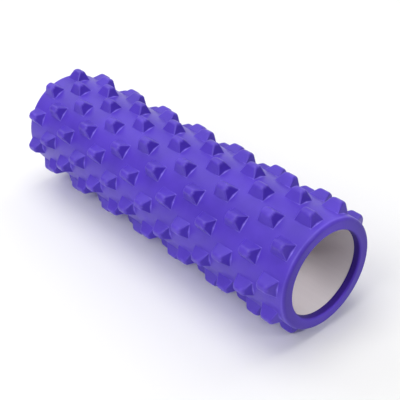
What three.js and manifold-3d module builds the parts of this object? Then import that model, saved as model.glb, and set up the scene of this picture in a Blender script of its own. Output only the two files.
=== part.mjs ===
// Foam massage roller: a moulded EVA foam sleeve, covered in studs, on a hollow rigid core tube.
// Millimetres, +Z up. The roller lies on its side along X, over the origin, and rests on Z = 0.

import * as THREE from 'three';
import { mergeVertices } from 'three/addons/utils/BufferGeometryUtils.js';
import Module from 'manifold-3d';

// Sleeve body
const LENGTH = 450;
const BODY_RADIUS = 61.25;
const END_ROUND = 4;
const LIP_RADIUS = 48;
const LIP_ROUND = 2.2;
const LIP_LENGTH = 8.8;

// Core tube, held between the two lips
const TUBE_INNER_RADIUS = 48.8;
const TUBE_OUTER_RADIUS = 52;
const TUBE_CHAMFER = 0.6;
const CLEARANCE = 0.3;

// Studs: rows along the roller, every other row shifted by half a pitch
const ROW_COUNT = 20;
const STUDS_PER_ROW = 7;
const PITCH = 63.6;
const FIRST_STUD_INSET = 19.9;
const FOOT_LENGTH = 21.4;
const FOOT_WIDTH = 18.2;
const TOP_LENGTH = 14.9;
const TOP_WIDTH = 8.8;
const STUD_HEIGHT = 10.75;
const TOP_CHAMFER = 1.5;
const ROOT_DEPTH = 2;

// Facets of the turned shapes: three to each row of studs, so that every row meets the same ones
const SIDES = ROW_COUNT * 3;
const ROUND_STEPS = 3;

const ROW_ANGLE = 2 * Math.PI / ROW_COUNT;
const TOP_RADIUS = BODY_RADIUS + STUD_HEIGHT;

// The roller rests on the top edges of the two studded rows either side of its lowest line.
const AXIS_HEIGHT = restHeight();

function restHeight() {
  const halfAngle = ROW_ANGLE / 2;
  const flatHalfWidth = TOP_WIDTH / 2 - TOP_CHAMFER;
  const flatEdge = TOP_RADIUS * Math.cos(halfAngle) + flatHalfWidth * Math.sin(halfAngle);
  const shoulderEdge = (TOP_RADIUS - TOP_CHAMFER) * Math.cos(halfAngle)
    + TOP_WIDTH / 2 * Math.sin(halfAngle);
  return Math.max(flatEdge, shoulderEdge);
}

function arcPoints(centreRadius, centreX, radius, startAngle, endAngle) {
  const points = [];
  for (let step = 0; step <= ROUND_STEPS; step += 1) {
    const angle = startAngle + (endAngle - startAngle) * step / ROUND_STEPS;
    points.push(new THREE.Vector2(
      centreRadius + radius * Math.cos(angle),
      centreX + radius * Math.sin(angle),
    ));
  }
  return points;
}

function mirrored(points) {
  return points.map((point) => new THREE.Vector2(point.x, -point.y)).reverse();
}

// A closed profile (x: radius, y: place along the axis), turned about X
function turned(profile) {
  const geometry = new THREE.LatheGeometry([...profile, profile[0]], SIDES);
  geometry.rotateZ(-Math.PI / 2);
  return geometry;
}

function toManifold(wasm, geometry) {
  const bare = geometry.clone();
  bare.deleteAttribute('normal');
  bare.deleteAttribute('uv');
  const merged = mergeVertices(bare, 1e-3);
  return new wasm.Manifold(new wasm.Mesh({
    numProp: 3,
    vertProperties: Float32Array.from(merged.attributes.position.array),
    triVerts: Uint32Array.from(merged.index.array),
  }));
}

function toGeometry(solid) {
  const mesh = solid.getMesh();
  const geometry = new THREE.BufferGeometry();
  geometry.setAttribute('position', new THREE.BufferAttribute(mesh.vertProperties, 3));
  geometry.setIndex(new THREE.BufferAttribute(mesh.triVerts, 1));
  geometry.computeVertexNormals();
  return geometry;
}

// One half of the sleeve's profile, from the middle of its outside, round the end, to the bore
function sleeveHalfProfile() {
  const end = LENGTH / 2;
  const pocketEnd = end - LIP_LENGTH + CLEARANCE;
  const pocketRadius = TUBE_OUTER_RADIUS + CLEARANCE;
  return [
    ...arcPoints(BODY_RADIUS - END_ROUND, end - END_ROUND, END_ROUND, 0, Math.PI / 2),
    ...arcPoints(LIP_RADIUS + LIP_ROUND, end - LIP_ROUND, LIP_ROUND, Math.PI / 2, Math.PI),
    new THREE.Vector2(LIP_RADIUS, pocketEnd),
    new THREE.Vector2(pocketRadius, pocketEnd),
  ];
}

function sleeveBody() {
  const half = sleeveHalfProfile();
  return turned([...half, ...mirrored(half)]);
}

// Four corners of one level of a stud: a rectangle at a given height over the axis
function studLevel(length, width, height) {
  return [[-1, -1], [1, -1], [1, 1], [-1, 1]].map(([alongX, alongY]) => new THREE.Vector3(
    alongX * length / 2,
    alongY * width / 2,
    height,
  ));
}

// A stud standing on the top of the body: its sides taper from a root sunk in the body to a small
// flat with a chamfered edge, and cross the body's surface at the foot's length and width.
function studGeometry() {
  const footHeight = Math.sqrt(BODY_RADIUS ** 2 - (FOOT_WIDTH / 2) ** 2);
  const shoulderHeight = TOP_RADIUS - TOP_CHAMFER;
  const rootShare = ROOT_DEPTH / (shoulderHeight - footHeight);
  const levels = [
    studLevel(
      FOOT_LENGTH + rootShare * (FOOT_LENGTH - TOP_LENGTH),
      FOOT_WIDTH + rootShare * (FOOT_WIDTH - TOP_WIDTH),
      footHeight - ROOT_DEPTH,
    ),
    studLevel(TOP_LENGTH, TOP_WIDTH, shoulderHeight),
    studLevel(TOP_LENGTH - 2 * TOP_CHAMFER, TOP_WIDTH - 2 * TOP_CHAMFER, TOP_RADIUS),
  ];
  const index = [0, 2, 1, 0, 3, 2];
  for (let level = 0; level < levels.length - 1; level += 1) {
    for (let corner = 0; corner < 4; corner += 1) {
      const next = (corner + 1) % 4;
      const low = 4 * level;
      const high = low + 4;
      index.push(low + corner, low + next, high + next, low + corner, high + next, high + corner);
    }
  }
  const top = 4 * (levels.length - 1);
  index.push(top, top + 1, top + 2, top, top + 2, top + 3);
  const geometry = new THREE.BufferGeometry().setFromPoints(levels.flat());
  geometry.setIndex(index);
  return geometry;
}

// Row 0 is the first to the +Y side of the top. Its neighbours either way are shifted rows.
function studPlaces() {
  const places = [];
  for (let row = 0; row < ROW_COUNT; row += 1) {
    const angle = (row + 0.5) * ROW_ANGLE;
    const shift = row % 2 === 0 ? PITCH / 2 : 0;
    for (let stud = 0; stud < STUDS_PER_ROW; stud += 1) {
      places.push({ angle, x: LENGTH / 2 - FIRST_STUD_INSET - shift - stud * PITCH });
    }
  }
  return places;
}

function foamSleeve(wasm) {
  const stud = studGeometry();
  let solid = toManifold(wasm, sleeveBody());
  for (const { angle, x } of studPlaces()) {
    const copy = stud.clone();
    copy.rotateX(-angle);
    copy.translate(x, 0, 0);
    solid = solid.add(toManifold(wasm, copy));
  }
  return toGeometry(solid);
}

function coreTube() {
  const end = LENGTH / 2 - LIP_LENGTH;
  const half = [
    new THREE.Vector2(TUBE_OUTER_RADIUS, end - TUBE_CHAMFER),
    new THREE.Vector2(TUBE_OUTER_RADIUS - TUBE_CHAMFER, end),
    new THREE.Vector2(TUBE_INNER_RADIUS + TUBE_CHAMFER, end),
    new THREE.Vector2(TUBE_INNER_RADIUS, end - TUBE_CHAMFER),
  ];
  return turned([...half, ...mirrored(half)]);
}

function part(name, geometry, color, roughness) {
  const material = new THREE.MeshStandardMaterial({ color, roughness, metalness: 0 });
  const mesh = new THREE.Mesh(geometry, material);
  mesh.name = name;
  return mesh;
}

const wasm = await Module();
wasm.setup();

const roller = new THREE.Group();
roller.position.z = AXIS_HEIGHT;
roller.add(part('foam_sleeve', foamSleeve(wasm), 0x5b43c6, 0.55));
roller.add(part('core_tube', coreTube(), 0xd9d6d8, 0.45));

export default roller;
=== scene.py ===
import math

import bmesh
import bpy
from bpy.props import FloatProperty, FloatVectorProperty, IntProperty, PointerProperty
from bpy.types import Operator, Panel, PropertyGroup
from mathutils import Euler, Matrix, Vector


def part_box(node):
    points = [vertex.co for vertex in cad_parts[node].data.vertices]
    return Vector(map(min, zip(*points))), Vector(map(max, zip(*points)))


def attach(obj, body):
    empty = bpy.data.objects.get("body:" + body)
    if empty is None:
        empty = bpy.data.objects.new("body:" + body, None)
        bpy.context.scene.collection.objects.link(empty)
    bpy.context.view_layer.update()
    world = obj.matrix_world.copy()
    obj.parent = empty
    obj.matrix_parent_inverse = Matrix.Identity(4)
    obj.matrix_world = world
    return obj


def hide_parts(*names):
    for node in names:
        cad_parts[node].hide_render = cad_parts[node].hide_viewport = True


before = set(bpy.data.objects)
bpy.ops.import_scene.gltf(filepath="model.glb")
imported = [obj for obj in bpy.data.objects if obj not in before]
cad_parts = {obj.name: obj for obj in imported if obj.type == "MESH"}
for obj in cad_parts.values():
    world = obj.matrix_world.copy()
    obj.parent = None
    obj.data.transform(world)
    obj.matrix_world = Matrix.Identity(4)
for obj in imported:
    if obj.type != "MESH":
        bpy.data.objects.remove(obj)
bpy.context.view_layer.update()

bl_info = {
    "name": "Foam Roller",
    "version": (1, 0, 0),
    "blender": (4, 5, 0),
    "location": "3D View > Sidebar > Foam Roller",
    "description": "Builds a studded foam massage roller on a hollow core tube, and a stage for it",
    "category": "Object",
}

# The roller lies along X. Everything is in metres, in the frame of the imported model.
SLEEVE_LOW, SLEEVE_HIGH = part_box("foam_sleeve")
TUBE_LOW, TUBE_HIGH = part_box("core_tube")
AXIS_HEIGHT = (TUBE_LOW.z + TUBE_HIGH.z) / 2

# A tile is one stud's share of the skin: a rectangle of the body, split into eight along each side.
# Every ring of points round its stud has as many to a side, from corner middle to corner middle.
SIDE_STEPS = 8
RING_COUNT = 4 * SIDE_STEPS
# Where a rounded corner's points lie, in degrees, from its middle to where the straight side starts
CORNER_TURNS = (45.0, 67.5, 90.0)
# Where the points of a tile's edge lie along the roller, from one end of the tile to the other
TILE_LINES = (-1.0, -0.84, -0.73, -0.66, 0.0, 0.66, 0.73, 0.84, 1.0)
# A flat face has a line of points this far inside its edge, so that it is shaded flat.
SUPPORT = 0.0003
# Steps round the sleeve's outer edges, the inner edges of its lips, and the edges of the tube
END_STEPS, LIP_STEPS, TUBE_STEPS = 8, 5, 4
WELD_DISTANCE = 2e-5
# A tile's points this near the skin's end, or past it, are drawn to it.
END_REACH = 0.0012

# The painted highlights at a stud's -X end, against those at its +X end
FAR_END_SHARE = 0.2
# The painted highlight round the sleeve's outer edge: its strength, and where it lies and how far
# it reaches, as shares of the way from the skin to the end face
EDGE_HIGHLIGHT_STRENGTH = 0.7
EDGE_HIGHLIGHT_PLACE = 0.35
# The way over which painted shade darkens the skin towards the end face, in the same shares
PAINTED_SHADE_START, PAINTED_SHADE_END = 0.35, 0.85
# How much painted shade darkens the flat end ring, between the open skin at 0 and the inside of the
# lip at 1
RING_PAINTED_SHADE = 0.28


# ---------------------------------------------------------------- sizes and colours


def length_property(name, description, default):
    return FloatProperty(
        name=name, description=description, default=default, min=0.0, unit="LENGTH", precision=4
    )


def colour_property(name, description, default):
    return FloatVectorProperty(
        name=name, description=description, default=default, subtype="COLOR", min=0.0, max=1.0
    )


class FoamRollerSizes(PropertyGroup):
    length: length_property(
        "Length", "From one end face to the other", SLEEVE_HIGH.x - SLEEVE_LOW.x
    )
    body_radius: length_property(
        "Body Radius", "From the axis to the skin between the studs", 0.06125
    )
    end_round: length_property("End Round", "Rounding where the body meets its end face", 0.004)
    lip_radius: length_property("Lip Radius", "Inside of the lip at each end", 0.048)
    lip_round: length_property("Lip Round", "Rounding of the lip's inner edge", 0.0022)
    lip_gap: length_property("Lip Gap", "Between the lip or bore and the tube", 0.0003)
    tube_length: length_property("Tube Length", "Core tube, end to end", TUBE_HIGH.x - TUBE_LOW.x)
    tube_radius: length_property(
        "Tube Radius", "Outside of the core tube", (TUBE_HIGH.z - TUBE_LOW.z) / 2
    )
    tube_wall: length_property("Tube Wall", "Thickness of the core tube", 0.0032)
    tube_round: length_property("Tube Round", "Rounding of the core tube's edges", 0.0005)
    row_count: IntProperty(
        name="Rows", description="Rows of studs round the body", default=20, min=4
    )
    column_count: IntProperty(
        name="Columns", description="Half pitches along the body, two to a stud", default=14, min=2
    )
    half_pitch: length_property("Half Pitch", "From a stud to the next row's studs", 0.0318)
    first_inset: length_property("First Inset", "From the +X end to the first stud", 0.0199)
    foot_length: length_property("Foot Length", "Stud's foot, along the roller", 0.0214)
    foot_width: length_property("Foot Width", "Stud's foot, round the roller", 0.0182)
    top_length: length_property("Top Length", "Stud's shoulder, along the roller", 0.0149)
    top_width: length_property("Top Width", "Stud's shoulder, round the roller", 0.0088)
    stud_height: length_property("Stud Height", "From the skin to the stud's top", 0.01075)
    shoulder_drop: length_property("Shoulder Drop", "From the stud's top to its shoulder", 0.0015)
    end_fillet: length_property("End Fillet", "Reach of the fillet at a stud's two ends", 0.0015)
    side_fillet: length_property("Side Fillet", "Reach of the fillet along a stud's sides", 0.0002)
    top_round: length_property("Top Round", "Reach of the rounding of a stud's top edge", 0.0028)
    hip_round: length_property("Hip Round", "Radius of the sloping edges at a stud's foot", 0.0010)
    brow_round: length_property("Brow Round", "Radius of the sloping edges at its top", 0.0036)


class FoamRollerColours(PropertyGroup):
    foam: colour_property("Foam", "Skin of the foam", (0.084, 0.034, 0.530))
    foam_deep: colour_property("Foam Deep", "Darker clouds in the foam", (0.067, 0.026, 0.450))
    # Painted shade: darkens the flat end rings and the inside of the lips.
    foam_painted_shade: colour_property("Foam Painted Shade", "Skin inside the lips", (0.026, 0.004, 0.200))
    # Painted highlights: pale lines at the studs' feet, corners and top edges and round the
    # sleeve's outer edge.
    foam_painted_highlight: colour_property("Foam Painted Highlight", "Painted highlights on edges and feet", (0.300, 0.210, 0.950))
    tube: colour_property("Tube", "Plastic of the core tube", (0.645, 0.595, 0.620))
    tube_dull: colour_property("Tube Dull", "Streaks along the core tube", (0.585, 0.540, 0.565))
    floor: colour_property("Floor", "Plain pale floor", (0.900, 0.900, 0.900))


# ---------------------------------------------------------------- meshes


def bezier(start, control, end, share):
    rest = 1.0 - share
    return start * (rest * rest) + control * (2.0 * rest * share) + end * (share * share)


def side_points(half_along, half_across, corner):
    """One side of a rounded rectangle, from the middle of one corner up to that of the next."""
    straight = half_along - corner
    reach = half_across - corner
    turns = [math.radians(turn) for turn in CORNER_TURNS]
    start = [(-straight - corner * math.cos(t), reach + corner * math.sin(t)) for t in turns]
    end = [(-along, across) for along, across in reversed(start)]
    inner = min(SUPPORT, straight / 2)
    middle = [(-straight + inner, half_across), (0.0, half_across), (straight - inner, half_across)]
    return start + middle + end[:2]


def round_the_stud(sides):
    """Joins four sides, given as (along, outward) pairs, into one anticlockwise ring of (x, y)."""
    turned = (
        lambda along, across: (along, -across),
        lambda along, across: (across, along),
        lambda along, across: (-along, across),
        lambda along, across: (-across, -along),
    )
    return [turn(*point) for turn, side in zip(turned, sides) for point in side]


def rounded_rectangle(half_length, half_width, corner):
    along = side_points(half_length, half_width, corner)
    across = side_points(half_width, half_length, corner)
    return round_the_stud([along, across, along, across])


def on_body(x, y, radius):
    return Vector((x, y, math.sqrt(radius * radius - y * y)))


class StudShape:
    """A stud as rings of points, one inside the other, from the tile's edge to the stud's flat."""

    # Rounds that the foot takes to settle on the body, where its height and size set each other
    FOOT_ROUNDS = 4
    # The largest corner of the flat, as a share of its half width
    LARGEST_CORNER = 0.8

    def __init__(self, sizes):
        self.s = sizes
        self.top = sizes.body_radius + sizes.stud_height
        half_foot = sizes.foot_width / 2
        self.foot = math.sqrt(sizes.body_radius**2 - half_foot**2)
        self.shoulder = self.top - sizes.shoulder_drop

    def half_sizes(self, height):
        share = (height - self.foot) / (self.shoulder - self.foot)
        length = self.s.foot_length + share * (self.s.top_length - self.s.foot_length)
        width = self.s.foot_width + share * (self.s.top_width - self.s.foot_width)
        return length / 2, width / 2

    def foot_ring(self):
        """Where the stud's sloping faces cross the body."""
        heights = [self.foot] * RING_COUNT
        for _ in range(self.FOOT_ROUNDS):
            ring = [
                rounded_rectangle(*self.half_sizes(h), self.s.hip_round)[i]
                for i, h in enumerate(heights)
            ]
            heights = [on_body(x, y, self.s.body_radius).z for x, y in ring]
        return [Vector((x, y, h)) for (x, y), h in zip(ring, heights)]

    def top_ring(self, inset):
        """The sharp edge of the stud's top, or a ring of its flat that lies inset from it."""
        half_length, half_width = self.half_sizes(self.top)
        half_length, half_width = half_length - inset, half_width - inset
        corner = min(self.s.brow_round, self.LARGEST_CORNER * half_width)
        ring = rounded_rectangle(half_length, half_width, corner)
        return [Vector((x, y, self.top)) for x, y in ring]

    def tile_ring(self):
        half_length = self.s.half_pitch
        half_angle = math.pi / self.s.row_count
        radius = self.s.body_radius
        lines = TILE_LINES[:-1]
        angles = [-1.0 + 2.0 * i / SIDE_STEPS for i in range(SIDE_STEPS)]
        edge = half_length / 2
        along = [(edge * line, half_angle) for line in lines]
        across = [(half_angle * angle, edge) for angle in angles]
        flat = round_the_stud([along, across, along, across])
        return [Vector((x, radius * math.sin(a), radius * math.cos(a))) for x, a in flat]

    def rings(self):
        """(ring, foot line, corner line, edge line) for each ring, and a share for each point.

        The lines are painted highlights: along the stud's foot, up its sloping corners and round
        its top.
        """
        foot, top = self.foot_ring(), self.top_ring(0.0)
        flat = self.top_ring(self.s.top_round)
        away = [(low - high).xy.normalized() for low, high in zip(foot, top)]
        reach = [Vector((a.x * self.s.end_fillet, a.y * self.s.side_fillet)) for a in away]
        drop = self.s.top_round

        def out(extra):
            ring = []
            for low, step, way in zip(foot, reach, away):
                spot = low.xy + step + way * extra
                ring.append(on_body(spot.x, spot.y, self.s.body_radius))
            return ring

        def up(extra):
            return [
                low + (high - low).normalized() * (step.length + extra)
                for low, high, step in zip(foot, top, reach)
            ]

        def down(distance):
            return [high + (low - high).normalized() * distance for low, high in zip(foot, top)]

        def curve(a, b, c, share):
            return [bezier(*points, share) for points in zip(a, b, c)]

        skirt, rise, brow = out(0.0), up(0.0), down(drop)
        # Painted highlights are strongest at a stud's +X end and faint at its -X end.
        at_ends = [(1.0 if a.x > 0.0 else FAR_END_SHARE) * a.x * a.x for a in away]
        return [
            (self.tile_ring(), 0.0, 0.0, 0.0),
            (out(SUPPORT / 2), 0.0, 0.0, 0.0),
            (skirt, 0.5, 0.0, 0.0),
            (curve(skirt, foot, rise, 1 / 3), 1.0, 0.0, 0.0),
            (curve(skirt, foot, rise, 2 / 3), 0.6, 0.4, 0.0),
            (rise, 0.0, 1.0, 0.0),
            (down(drop + SUPPORT), 0.0, 0.4, 0.0),
            (brow, 0.0, 0.2, 0.3),
            (curve(brow, top, flat, 1 / 4), 0.0, 0.0, 0.7),
            (curve(brow, top, flat, 1 / 2), 0.0, 0.0, 1.0),
            (curve(brow, top, flat, 3 / 4), 0.0, 0.0, 0.7),
            (flat, 0.0, 0.0, 0.3),
        ], at_ends


def mesh_object(name, vertices, faces, lines=None):
    """A new object from plain lists. lines maps an attribute's name to a value for each vertex."""
    mesh = bpy.data.meshes.new(name)
    mesh.from_pydata(vertices, [], faces)
    for label, values in (lines or {}).items():
        mesh.attributes.new(label, "FLOAT", "POINT").data.foreach_set("value", values)
    mesh.validate()
    made = bpy.data.objects.new(name, mesh)
    bpy.context.scene.collection.objects.link(made)
    return made


def studded_tile(sizes):
    rings, at_ends = StudShape(sizes).rings()
    at_corners = [float(i % SIDE_STEPS == 0) * end for i, end in enumerate(at_ends)]
    vertices = [point for ring, *_ in rings for point in ring]
    faces = []
    for level in range(len(rings) - 1):
        outer, inner = level * RING_COUNT, (level + 1) * RING_COUNT
        for i in range(RING_COUNT):
            j = (i + 1) % RING_COUNT
            faces.append((outer + i, outer + j, inner + j, inner + i))
    last = (len(rings) - 1) * RING_COUNT
    faces.append(tuple(range(last, last + RING_COUNT)))
    # Painted highlights along the stud's foot and up its sloping corners
    foot_line = [
        foot * end + corner * at_corner
        for _, foot, corner, _ in rings
        for end, at_corner in zip(at_ends, at_corners)
    ]
    # Painted highlights round the stud's top edge
    edge_line = [edge * end for *_, edge in rings for end in at_ends]
    lines = {"foot_line": foot_line, "edge_line": edge_line}
    return mesh_object("studded_tile", vertices, faces, lines)


def plain_tile(sizes):
    half_angle = math.pi / sizes.row_count
    vertices, faces = [], []
    for i in range(SIDE_STEPS + 1):
        angle = half_angle * (-1.0 + 2.0 * i / SIDE_STEPS)
        for line in TILE_LINES:
            y, z = sizes.body_radius * math.sin(angle), sizes.body_radius * math.cos(angle)
            vertices.append((sizes.half_pitch / 2 * line, y, z))
    across = SIDE_STEPS + 1
    for i in range(SIDE_STEPS):
        for j in range(SIDE_STEPS):
            corner = i * across + j
            faces.append((corner, corner + 1, corner + across + 1, corner + across))
    return mesh_object("plain_tile", vertices, faces)


def arc(x, radius, size, start, end, steps):
    """Points (x, radius) round a centre, from one angle to another in degrees. 0 is outwards."""
    points = []
    for step in range(steps + 1):
        angle = math.radians(start + (end - start) * step / steps)
        points.append((x + size * math.sin(angle), radius + size * math.cos(angle)))
    return points


def mirrored(points):
    return [(-x, radius) for x, radius in reversed(points)]


def turned_mesh(name, profile, sides, closed, lift, lines=None):
    """Turns (x, radius) points about the X axis. A closed profile runs outside, +X end, bore."""
    count = len(profile)
    vertices, faces = [], []
    for side in range(sides):
        angle = 2.0 * math.pi * side / sides
        for x, radius in profile:
            vertices.append((x, radius * math.sin(angle), radius * math.cos(angle) + lift))
    for side in range(sides):
        here, there = side * count, (side + 1) % sides * count
        for i in range(count if closed else count - 1):
            j = (i + 1) % count
            faces.append((here + i, here + j, there + j, there + i))
    repeated = {label: values * sides for label, values in (lines or {}).items()}
    return mesh_object(name, vertices, faces, repeated)


def sleeve_end_profile(sizes):
    """Half of the sleeve's turned part: from the skin's end, round the end face, to the pocket."""
    end = sizes.length / 2
    pocket_end = sizes.tube_length / 2 + sizes.lip_gap
    pocket = sizes.tube_radius + sizes.lip_gap
    ring_outside = sizes.body_radius - sizes.end_round
    ring_inside = sizes.lip_radius + sizes.lip_round
    return [
        *arc(end - sizes.end_round, ring_outside, sizes.end_round, 0, 90, END_STEPS),
        (end, ring_outside - SUPPORT),
        (end, ring_inside + SUPPORT),
        *arc(end - sizes.lip_round, ring_inside, sizes.lip_round, 90, 180, LIP_STEPS),
        (end - sizes.lip_round - SUPPORT, sizes.lip_radius),
        (pocket_end + SUPPORT, sizes.lip_radius),
        (pocket_end, sizes.lip_radius + SUPPORT),
        (pocket_end, pocket),
    ]


def ramp(value, low, high):
    return min(max((value - low) / (high - low), 0.0), 1.0)


def sleeve_end_lines(sizes, half):
    """For each point of that half, its painted highlight on the outer edge and its painted shade
    towards the end ring and inside the lip.
    """
    edge_line, shade = [], []
    for x, radius in half:
        depth = sizes.length / 2 - x
        if radius >= sizes.body_radius - sizes.end_round:
            turned = 1.0 - depth / sizes.end_round
            # Painted highlight along the rounding of the outer edge
            off_line = ramp(abs(turned - EDGE_HIGHLIGHT_PLACE), 0.0, EDGE_HIGHLIGHT_PLACE)
            edge_line.append(EDGE_HIGHLIGHT_STRENGTH * (1.0 - off_line))
            # Painted shade, darkening the rounding towards the end ring
            shade.append(RING_PAINTED_SHADE * ramp(turned, PAINTED_SHADE_START, PAINTED_SHADE_END))
        # Painted shade, from the end ring to its full depth inside the lip
        else:
            edge_line.append(0.0)
            shade.append(RING_PAINTED_SHADE + (1.0 - RING_PAINTED_SHADE) * ramp(depth, 0.0, sizes.lip_round))
    return {"edge_line": edge_line + edge_line[::-1], "shade": shade + shade[::-1]}


def tube_profile(sizes):
    """The tube's turned profile. Its long walls have support points too, next to their ends."""
    end = sizes.tube_length / 2 - sizes.tube_round
    outer = sizes.tube_radius - sizes.tube_round
    inner = sizes.tube_radius - sizes.tube_wall + sizes.tube_round
    half = [
        *arc(end, outer, sizes.tube_round, 0, 90, TUBE_STEPS),
        *arc(end, inner, sizes.tube_round, 90, 180, TUBE_STEPS),
    ]
    half.insert(0, (half[0][0] - sizes.tube_round, half[0][1]))
    half.append((half[-1][0] - sizes.tube_round, half[-1][1]))
    return half + mirrored(half)


# ---------------------------------------------------------------- node helpers


def add_node(tree, kind, inputs=None, **settings):
    """Adds a node. inputs maps a socket's name or index to a value, or to the socket to link."""
    made = tree.nodes.new(kind)
    for name, value in settings.items():
        setattr(made, name, value)
    for socket, value in (inputs or {}).items():
        if isinstance(value, bpy.types.NodeSocket):
            tree.links.new(value, made.inputs[socket])
        else:
            made.inputs[socket].default_value = value
    return made


def maths(tree, operation, first, second=0.0):
    return add_node(tree, "ShaderNodeMath", {0: first, 1: second}, operation=operation).outputs[0]


def moved(tree, geometry, socket, vector):
    inputs = {"Geometry": geometry, socket: vector}
    return add_node(tree, "GeometryNodeSetPosition", inputs).outputs[0]


def joined(tree, parts):
    join = add_node(tree, "GeometryNodeJoinGeometry")
    for part in parts:
        tree.links.new(part, join.inputs[0])
    return join.outputs[0]


SLEEVE_INPUTS = (
    ("Studded Tile", "NodeSocketObject"),
    ("Plain Tile", "NodeSocketObject"),
    ("Rows", "NodeSocketInt"),
    ("Columns", "NodeSocketInt"),
    ("First Tile", "NodeSocketFloat"),
    ("Half Pitch", "NodeSocketFloat"),
    ("Skin End", "NodeSocketFloat"),
    ("End Reach", "NodeSocketFloat"),
    ("Weld Distance", "NodeSocketFloat"),
    ("Axis Height", "NodeSocketFloat"),
    ("Foam", "NodeSocketMaterial"),
)


def tile_places(tree, given):
    """A point on the axis for each tile, its turn about the axis, and whether it has a stud."""
    index = add_node(tree, "GeometryNodeInputIndex").outputs[0]
    column = maths(tree, "FLOOR", maths(tree, "DIVIDE", index, given["Rows"]))
    row = maths(tree, "SUBTRACT", index, maths(tree, "MULTIPLY", column, given["Rows"]))
    parity = maths(tree, "FLOORED_MODULO", maths(tree, "ADD", column, row), 2.0)
    settings = {"data_type": "FLOAT", "operation": "GREATER_THAN"}
    has_stud = add_node(tree, "FunctionNodeCompare", {0: parity, 1: 0.5}, **settings).outputs[0]

    step = maths(tree, "DIVIDE", -2.0 * math.pi, given["Rows"])
    angle = maths(tree, "MULTIPLY", maths(tree, "ADD", row, 0.5), step)
    turn = add_node(tree, "ShaderNodeCombineXYZ", {0: angle}).outputs[0]
    rotation = add_node(tree, "FunctionNodeEulerToRotation", {0: turn}).outputs[0]

    back = maths(tree, "MULTIPLY", column, given["Half Pitch"])
    along = maths(tree, "SUBTRACT", given["First Tile"], back)
    place = add_node(tree, "ShaderNodeCombineXYZ", {0: along}).outputs[0]
    total = maths(tree, "MULTIPLY", given["Rows"], given["Columns"])
    points = add_node(tree, "GeometryNodePoints", {"Count": total}).outputs[0]
    points = moved(tree, points, "Position", place)
    return points, rotation, has_stud


def laid_tiles(tree, given):
    """The skin: studded and plain tiles in turn, round and along the body."""
    points, rotation, has_stud = tile_places(tree, given)
    has_none = add_node(tree, "FunctionNodeBooleanMath", {0: has_stud}, operation="NOT").outputs[0]
    skins = []
    for label, chosen in (("Studded Tile", has_stud), ("Plain Tile", has_none)):
        tile = add_node(tree, "GeometryNodeObjectInfo", {"Object": given[label]})
        laid = {
            "Points": points,
            "Selection": chosen,
            "Instance": tile.outputs["Geometry"],
            "Rotation": rotation,
        }
        skins.append(add_node(tree, "GeometryNodeInstanceOnPoints", laid).outputs[0])
    return add_node(tree, "GeometryNodeRealizeInstances", {0: joined(tree, skins)}).outputs[0]


def drawn_to_ends(tree, given, skin):
    """The skin with its outermost points drawn to where the turned ends begin."""
    spot = add_node(tree, "GeometryNodeInputPosition").outputs[0]
    along, across, up = add_node(tree, "ShaderNodeSeparateXYZ", {0: spot}).outputs
    last = maths(tree, "SUBTRACT", given["Skin End"], given["End Reach"])
    at_end = maths(tree, "GREATER_THAN", maths(tree, "ABSOLUTE", along), last)
    end = maths(tree, "MULTIPLY", maths(tree, "SIGN", along), given["Skin End"])
    to_end = maths(tree, "MULTIPLY", at_end, maths(tree, "SUBTRACT", end, along))
    fitted = maths(tree, "ADD", along, to_end)
    place = add_node(tree, "ShaderNodeCombineXYZ", {0: fitted, 1: across, 2: up}).outputs[0]
    return moved(tree, skin, "Position", place)


def sleeve_tree():
    """Lays the tiles that make the skin, and welds them to the turned ends that it is given."""
    tree = bpy.data.node_groups.new("Studded Sleeve", "GeometryNodeTree")
    tree.is_modifier = True
    tree.interface.new_socket("Geometry", in_out="INPUT", socket_type="NodeSocketGeometry")
    for label, kind in SLEEVE_INPUTS:
        tree.interface.new_socket(label, in_out="INPUT", socket_type=kind)
    tree.interface.new_socket("Geometry", in_out="OUTPUT", socket_type="NodeSocketGeometry")
    given = tree.nodes.new("NodeGroupInput").outputs

    skin = drawn_to_ends(tree, given, laid_tiles(tree, given))
    whole = joined(tree, (given["Geometry"], skin))
    weld = {0: whole, "Distance": given["Weld Distance"]}
    whole = add_node(tree, "GeometryNodeMergeByDistance", weld).outputs[0]
    lift = add_node(tree, "ShaderNodeCombineXYZ", {2: given["Axis Height"]}).outputs[0]
    whole = moved(tree, whole, "Offset", lift)
    whole = add_node(tree, "GeometryNodeSetShadeSmooth", {0: whole}).outputs[0]
    whole = add_node(tree, "GeometryNodeRealizeInstances", {0: whole}).outputs[0]
    finish = {"Geometry": whole, "Material": given["Foam"]}
    whole = add_node(tree, "GeometryNodeSetMaterial", finish).outputs[0]
    tree.links.new(whole, tree.nodes.new("NodeGroupOutput").inputs[0])
    return tree


def evaluated_piece(carrier, name, tree, values):
    """Runs a node tree on carrier with the given inputs, and returns the result as a piece."""
    modifier = carrier.modifiers.new(tree.name, "NODES")
    modifier.node_group = tree
    for item in tree.interface.items_tree:
        if item.in_out == "INPUT" and item.name in values:
            modifier[item.identifier] = values[item.name]
    depsgraph = bpy.context.evaluated_depsgraph_get()
    mesh = bpy.data.meshes.new_from_object(carrier.evaluated_get(depsgraph), depsgraph=depsgraph)
    mesh.name = name
    carrier.modifiers.clear()
    piece = bpy.data.objects.new(name, mesh)
    bpy.context.scene.collection.objects.link(piece)
    return piece


def check_closed(piece):
    """Raises an error where the piece's mesh isn't one closed surface that faces outwards."""
    mesh = bmesh.new()
    mesh.from_mesh(piece.data)
    open_edges = sum(not edge.is_contiguous for edge in mesh.edges)
    volume = mesh.calc_volume(signed=True)
    mesh.free()
    if open_edges or volume <= 0.0:
        raise RuntimeError(f"{piece.name}: {open_edges} open edges, volume {volume:.6f}")


# ---------------------------------------------------------------- materials


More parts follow.
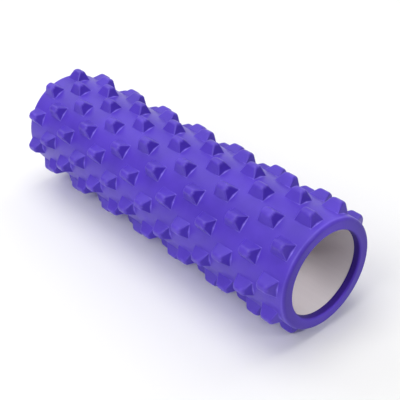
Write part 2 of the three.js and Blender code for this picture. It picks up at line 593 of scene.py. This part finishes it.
def new_material(name, colour, roughness):
    material = bpy.data.materials.new(name)
    material.use_nodes = True
    material.diffuse_color = (*colour, 1.0)
    tree = material.node_tree
    shader = tree.nodes["Principled BSDF"]
    shader.inputs["Base Color"].default_value = (*colour, 1.0)
    shader.inputs["Roughness"].default_value = roughness
    return material, tree, shader


def noise(tree, place, scale, detail=3.0, roughness=0.5):
    inputs = {"Vector": place, "Scale": scale, "Detail": detail, "Roughness": roughness}
    return add_node(tree, "ShaderNodeTexNoise", inputs).outputs["Fac"]


def remap(tree, value, from_low, from_high, to_low, to_high):
    inputs = {0: value, 1: from_low, 2: from_high, 3: to_low, 4: to_high}
    return add_node(tree, "ShaderNodeMapRange", inputs).outputs[0]


def mixed(tree, share, first, second):
    made = add_node(tree, "ShaderNodeMix", {"Factor": share}, data_type="RGBA")
    colours = [socket for socket in made.inputs if socket.type == "RGBA"]
    for socket, value in zip(colours, (first, second)):
        if isinstance(value, bpy.types.NodeSocket):
            tree.links.new(value, socket)
        else:
            socket.default_value = (*value, 1.0)
    return next(socket for socket in made.outputs if socket.type == "RGBA")


def bump(tree, height, strength, distance, under=None):
    inputs = {"Height": height, "Strength": strength, "Distance": distance}
    if under is not None:
        inputs["Normal"] = under
    return add_node(tree, "ShaderNodeBump", inputs).outputs[0]


def attribute(tree, name):
    return add_node(tree, "ShaderNodeAttribute", attribute_name=name).outputs["Fac"]


def foam_material(colours):
    """Moulded EVA foam skin: cloudy violet with a fine grain, with painted highlights along edges
    and feet and painted shade on the end rings and inside the lips.
    """
    material, tree, shader = new_material("foam_skin", colours.foam, 0.4)
    place = add_node(tree, "ShaderNodeTexCoord").outputs["Object"]
    clouds = noise(tree, place, 22.0, 4.0, 0.55)
    grain = noise(tree, place, 900.0, 2.0, 0.6)
    pores = add_node(tree, "ShaderNodeTexVoronoi", {"Vector": place, "Scale": 650.0}).outputs[0]

    colour = mixed(tree, remap(tree, clouds, 0.35, 0.65, 0.0, 1.0), colours.foam_deep, colours.foam)
    # Painted shade on the end rings and inside the lips; it also makes them more matt
    painted_shade_share = attribute(tree, "shade")
    # Painted highlights along the studs' feet, corners and top edges and round the sleeve's outer
    # edge
    edge_line, foot_line = attribute(tree, "edge_line"), attribute(tree, "foot_line")
    layers = (
        (painted_shade_share, remap(tree, grain, 0.3, 0.7, 0.9, 1.0), colours.foam_painted_shade),
        (edge_line, remap(tree, clouds, 0.3, 0.7, 0.1, 0.3), colours.foam_painted_highlight),
        (foot_line, remap(tree, grain, 0.3, 0.7, 0.45, 0.85), colours.foam_painted_highlight),
    )
    for line, strength, layer in layers:
        colour = mixed(tree, maths(tree, "MULTIPLY", line, strength), colour, layer)
    tree.links.new(colour, shader.inputs["Base Color"])

    matt = maths(tree, "MULTIPLY", painted_shade_share, 0.6)
    roughness = maths(tree, "ADD", remap(tree, clouds, 0.3, 0.7, 0.34, 0.46), matt)
    tree.links.new(roughness, shader.inputs["Roughness"])
    normal = bump(tree, noise(tree, place, 120.0, 3.0), 0.12, 0.0008)
    normal = bump(tree, grain, 0.25, 0.0002, normal)
    normal = bump(tree, pores, 0.15, 0.0002, normal)
    tree.links.new(normal, shader.inputs["Normal"])
    shader.inputs["Specular IOR Level"].default_value = 0.4
    shader.inputs["Sheen Weight"].default_value = 0.05
    shader.inputs["Sheen Roughness"].default_value = 0.5
    shader.inputs["Sheen Tint"].default_value = (0.80, 0.75, 0.95, 1.0)
    return material


def tube_material(colours):
    """Extruded off-white plastic: fine streaks along the tube, with a little dust."""
    material, tree, shader = new_material("core_plastic", colours.tube, 0.4)
    place = add_node(tree, "ShaderNodeTexCoord").outputs["Object"]
    along = add_node(tree, "ShaderNodeMapping", {"Vector": place, "Scale": (0.03, 1.0, 1.0)})
    streaks = noise(tree, along.outputs[0], 260.0, 4.0, 0.6)
    dust = noise(tree, place, 45.0, 5.0, 0.6)
    streaked = remap(tree, streaks, 0.35, 0.75, 0.0, 0.35)
    colour = mixed(tree, streaked, colours.tube, colours.tube_dull)
    colour = mixed(tree, remap(tree, dust, 0.5, 0.8, 0.0, 0.25), colour, colours.tube_dull)
    tree.links.new(colour, shader.inputs["Base Color"])
    tree.links.new(remap(tree, dust, 0.3, 0.7, 0.34, 0.48), shader.inputs["Roughness"])
    normal = bump(tree, streaks, 0.12, 0.0003)
    normal = bump(tree, noise(tree, place, 1200.0, 2.0), 0.08, 0.0001, normal)
    tree.links.new(normal, shader.inputs["Normal"])
    return material


def floor_material(colours):
    material, tree, shader = new_material("stage_floor", colours.floor, 0.75)
    place = add_node(tree, "ShaderNodeTexCoord").outputs["Object"]
    patches = remap(tree, noise(tree, place, 2.0, 2.0), 0.3, 0.7, 0.72, 0.78)
    tree.links.new(patches, shader.inputs["Roughness"])
    return material


# ---------------------------------------------------------------- operators


class FOAMROLLER_OT_sleeve(Operator):
    """Builds the foam sleeve with its studs, rounded ends and lips"""

    bl_idname = "foam_roller.sleeve"
    bl_label = "Foam Sleeve"

    def execute(self, context):
        sizes = context.scene.foam_roller_sizes
        colours = context.scene.foam_roller_colours
        half = sleeve_end_profile(sizes)
        sides = sizes.row_count * SIDE_STEPS
        lines = sleeve_end_lines(sizes, half)
        ends = turned_mesh("sleeve_ends", half + mirrored(half), sides, False, 0.0, lines)
        tiles = studded_tile(sizes), plain_tile(sizes)
        values = {
            "Studded Tile": tiles[0],
            "Plain Tile": tiles[1],
            "Rows": sizes.row_count,
            "Columns": sizes.column_count,
            "First Tile": sizes.length / 2 - sizes.first_inset,
            "Half Pitch": sizes.half_pitch,
            "Skin End": sizes.length / 2 - sizes.end_round,
            "End Reach": END_REACH,
            "Weld Distance": WELD_DISTANCE,
            "Axis Height": AXIS_HEIGHT,
            "Foam": foam_material(colours),
        }
        sleeve = evaluated_piece(ends, "moulded_sleeve", sleeve_tree(), values)
        for spare in (ends, *tiles):
            bpy.data.objects.remove(spare)
        check_closed(sleeve)
        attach(sleeve, "root")
        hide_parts("foam_sleeve")
        return {"FINISHED"}


class FOAMROLLER_OT_tube(Operator):
    """Builds the hollow core tube"""

    bl_idname = "foam_roller.tube"
    bl_label = "Core Tube"

    SIDES = 160

    def execute(self, context):
        sizes = context.scene.foam_roller_sizes
        profile = tube_profile(sizes)
        tube = turned_mesh("hollow_core", profile, self.SIDES, True, AXIS_HEIGHT)
        tube.data.materials.append(tube_material(context.scene.foam_roller_colours))
        tube.data.shade_smooth()
        check_closed(tube)
        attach(tube, "root")
        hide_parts("core_tube")
        return {"FINISHED"}


class FOAMROLLER_OT_stage(Operator):
    """Lays the floor, hangs the soft lights and sets up the camera"""

    bl_idname = "foam_roller.stage"
    bl_label = "Stage"

    FLOOR_HALF = 4.0
    CAMERA_PLACE = (0.63326, -0.49971, 0.50205)
    CAMERA_HEADING = math.radians(50.105)
    CAMERA_DROP = math.radians(32.980)
    CAMERA_ROLL = math.radians(-1.567)
    CAMERA_LENS = 74.86
    # Soft square lamps over the roller: name, place, power
    LAMPS = (
        ("front", (0.0, -1.7, 1.7), 27.0),
        ("top", (0.0, 0.0, 2.4), 20.5),
        ("far_end", (-1.7, 0.0, 1.7), 11.0),
        ("back", (0.0, 1.7, 1.7), 11.0),
        ("far_back", (-1.5, 1.8, 0.8), 5.5),
    )
    LAMP_SIZE = 1.6
    # A narrow lamp that shines down into the open near end
    BORE_LAMP = (1.075, 0.0, 0.92)
    BORE_LAMP_POWER = 54.0
    BORE_LAMP_ANGLE = math.radians(4.8)
    BORE_LAMP_BLEND = 0.8
    BORE_LAMP_RADIUS = 0.02
    SKY = (1.0, 1.0, 1.0, 1.0)
    SKY_STRENGTH = 0.33

    def floor(self, colours):
        half = self.FLOOR_HALF
        corners = [(-half, -half, 0.0), (half, -half, 0.0), (half, half, 0.0), (-half, half, 0.0)]
        floor = mesh_object("floor", corners, [(0, 1, 2, 3)])
        floor.data.materials.append(floor_material(colours))

    def hang(self, context, light, place, target):
        lamp = bpy.data.objects.new(light.name, light)
        lamp.location = place
        lamp.rotation_euler = (target - lamp.location).to_track_quat("-Z", "Y").to_euler()
        context.scene.collection.objects.link(lamp)

    def lamps(self, context):
        for name, place, power in self.LAMPS:
            light = bpy.data.lights.new(name, "AREA")
            light.size = self.LAMP_SIZE
            light.energy = power
            self.hang(context, light, place, Vector((0.0, 0.0, AXIS_HEIGHT)))
        light = bpy.data.lights.new("bore", "SPOT")
        light.energy = self.BORE_LAMP_POWER
        light.spot_size = self.BORE_LAMP_ANGLE
        light.spot_blend = self.BORE_LAMP_BLEND
        light.shadow_soft_size = self.BORE_LAMP_RADIUS
        half_length = context.scene.foam_roller_sizes.length / 2
        self.hang(context, light, self.BORE_LAMP, Vector((half_length, 0.0, AXIS_HEIGHT)))

    def sky(self, context):
        world = bpy.data.worlds.new("studio")
        world.use_nodes = True
        background = world.node_tree.nodes["Background"]
        background.inputs["Color"].default_value = self.SKY
        background.inputs["Strength"].default_value = self.SKY_STRENGTH
        context.scene.world = world

    def camera(self, context):
        data = bpy.data.cameras.new("camera")
        data.lens = self.CAMERA_LENS
        camera = bpy.data.objects.new("camera", data)
        camera.location = Vector(self.CAMERA_PLACE) + Vector((0.0, 0.0, AXIS_HEIGHT))
        aim = Euler((math.pi / 2 - self.CAMERA_DROP, 0.0, self.CAMERA_HEADING), "XYZ").to_matrix()
        roll = Matrix.Rotation(self.CAMERA_ROLL, 3, "Z")
        camera.rotation_euler = (aim @ roll).to_euler()
        context.scene.collection.objects.link(camera)
        context.scene.camera = camera

    def execute(self, context):
        self.floor(context.scene.foam_roller_colours)
        self.sky(context)
        self.lamps(context)
        self.camera(context)
        context.scene.view_settings.view_transform = "Standard"
        return {"FINISHED"}


class FOAMROLLER_PT_panel(Panel):
    """Lists the roller's pieces, with their sizes and colours"""

    bl_idname = "FOAMROLLER_PT_panel"
    bl_label = "Foam Roller"
    bl_space_type = "VIEW_3D"
    bl_region_type = "UI"
    bl_category = "Foam Roller"

    def draw(self, context):
        for settings in (context.scene.foam_roller_sizes, context.scene.foam_roller_colours):
            column = self.layout.column(align=True)
            for name in settings.__annotations__:
                column.prop(settings, name)
        column = self.layout.column()
        for operator in OPERATORS:
            column.operator(operator.bl_idname)


OPERATORS = (FOAMROLLER_OT_sleeve, FOAMROLLER_OT_tube, FOAMROLLER_OT_stage)
CLASSES = (FoamRollerSizes, FoamRollerColours, *OPERATORS, FOAMROLLER_PT_panel)


def register():
    for kind in CLASSES:
        bpy.utils.register_class(kind)
    bpy.types.Scene.foam_roller_sizes = PointerProperty(type=FoamRollerSizes)
    bpy.types.Scene.foam_roller_colours = PointerProperty(type=FoamRollerColours)


def unregister():
    del bpy.types.Scene.foam_roller_colours
    del bpy.types.Scene.foam_roller_sizes
    for kind in reversed(CLASSES):
        bpy.utils.unregister_class(kind)


def main():
    register()
    bpy.ops.foam_roller.sleeve()
    bpy.ops.foam_roller.tube()
    bpy.ops.foam_roller.stage()


if __name__ == "__main__":
    main()
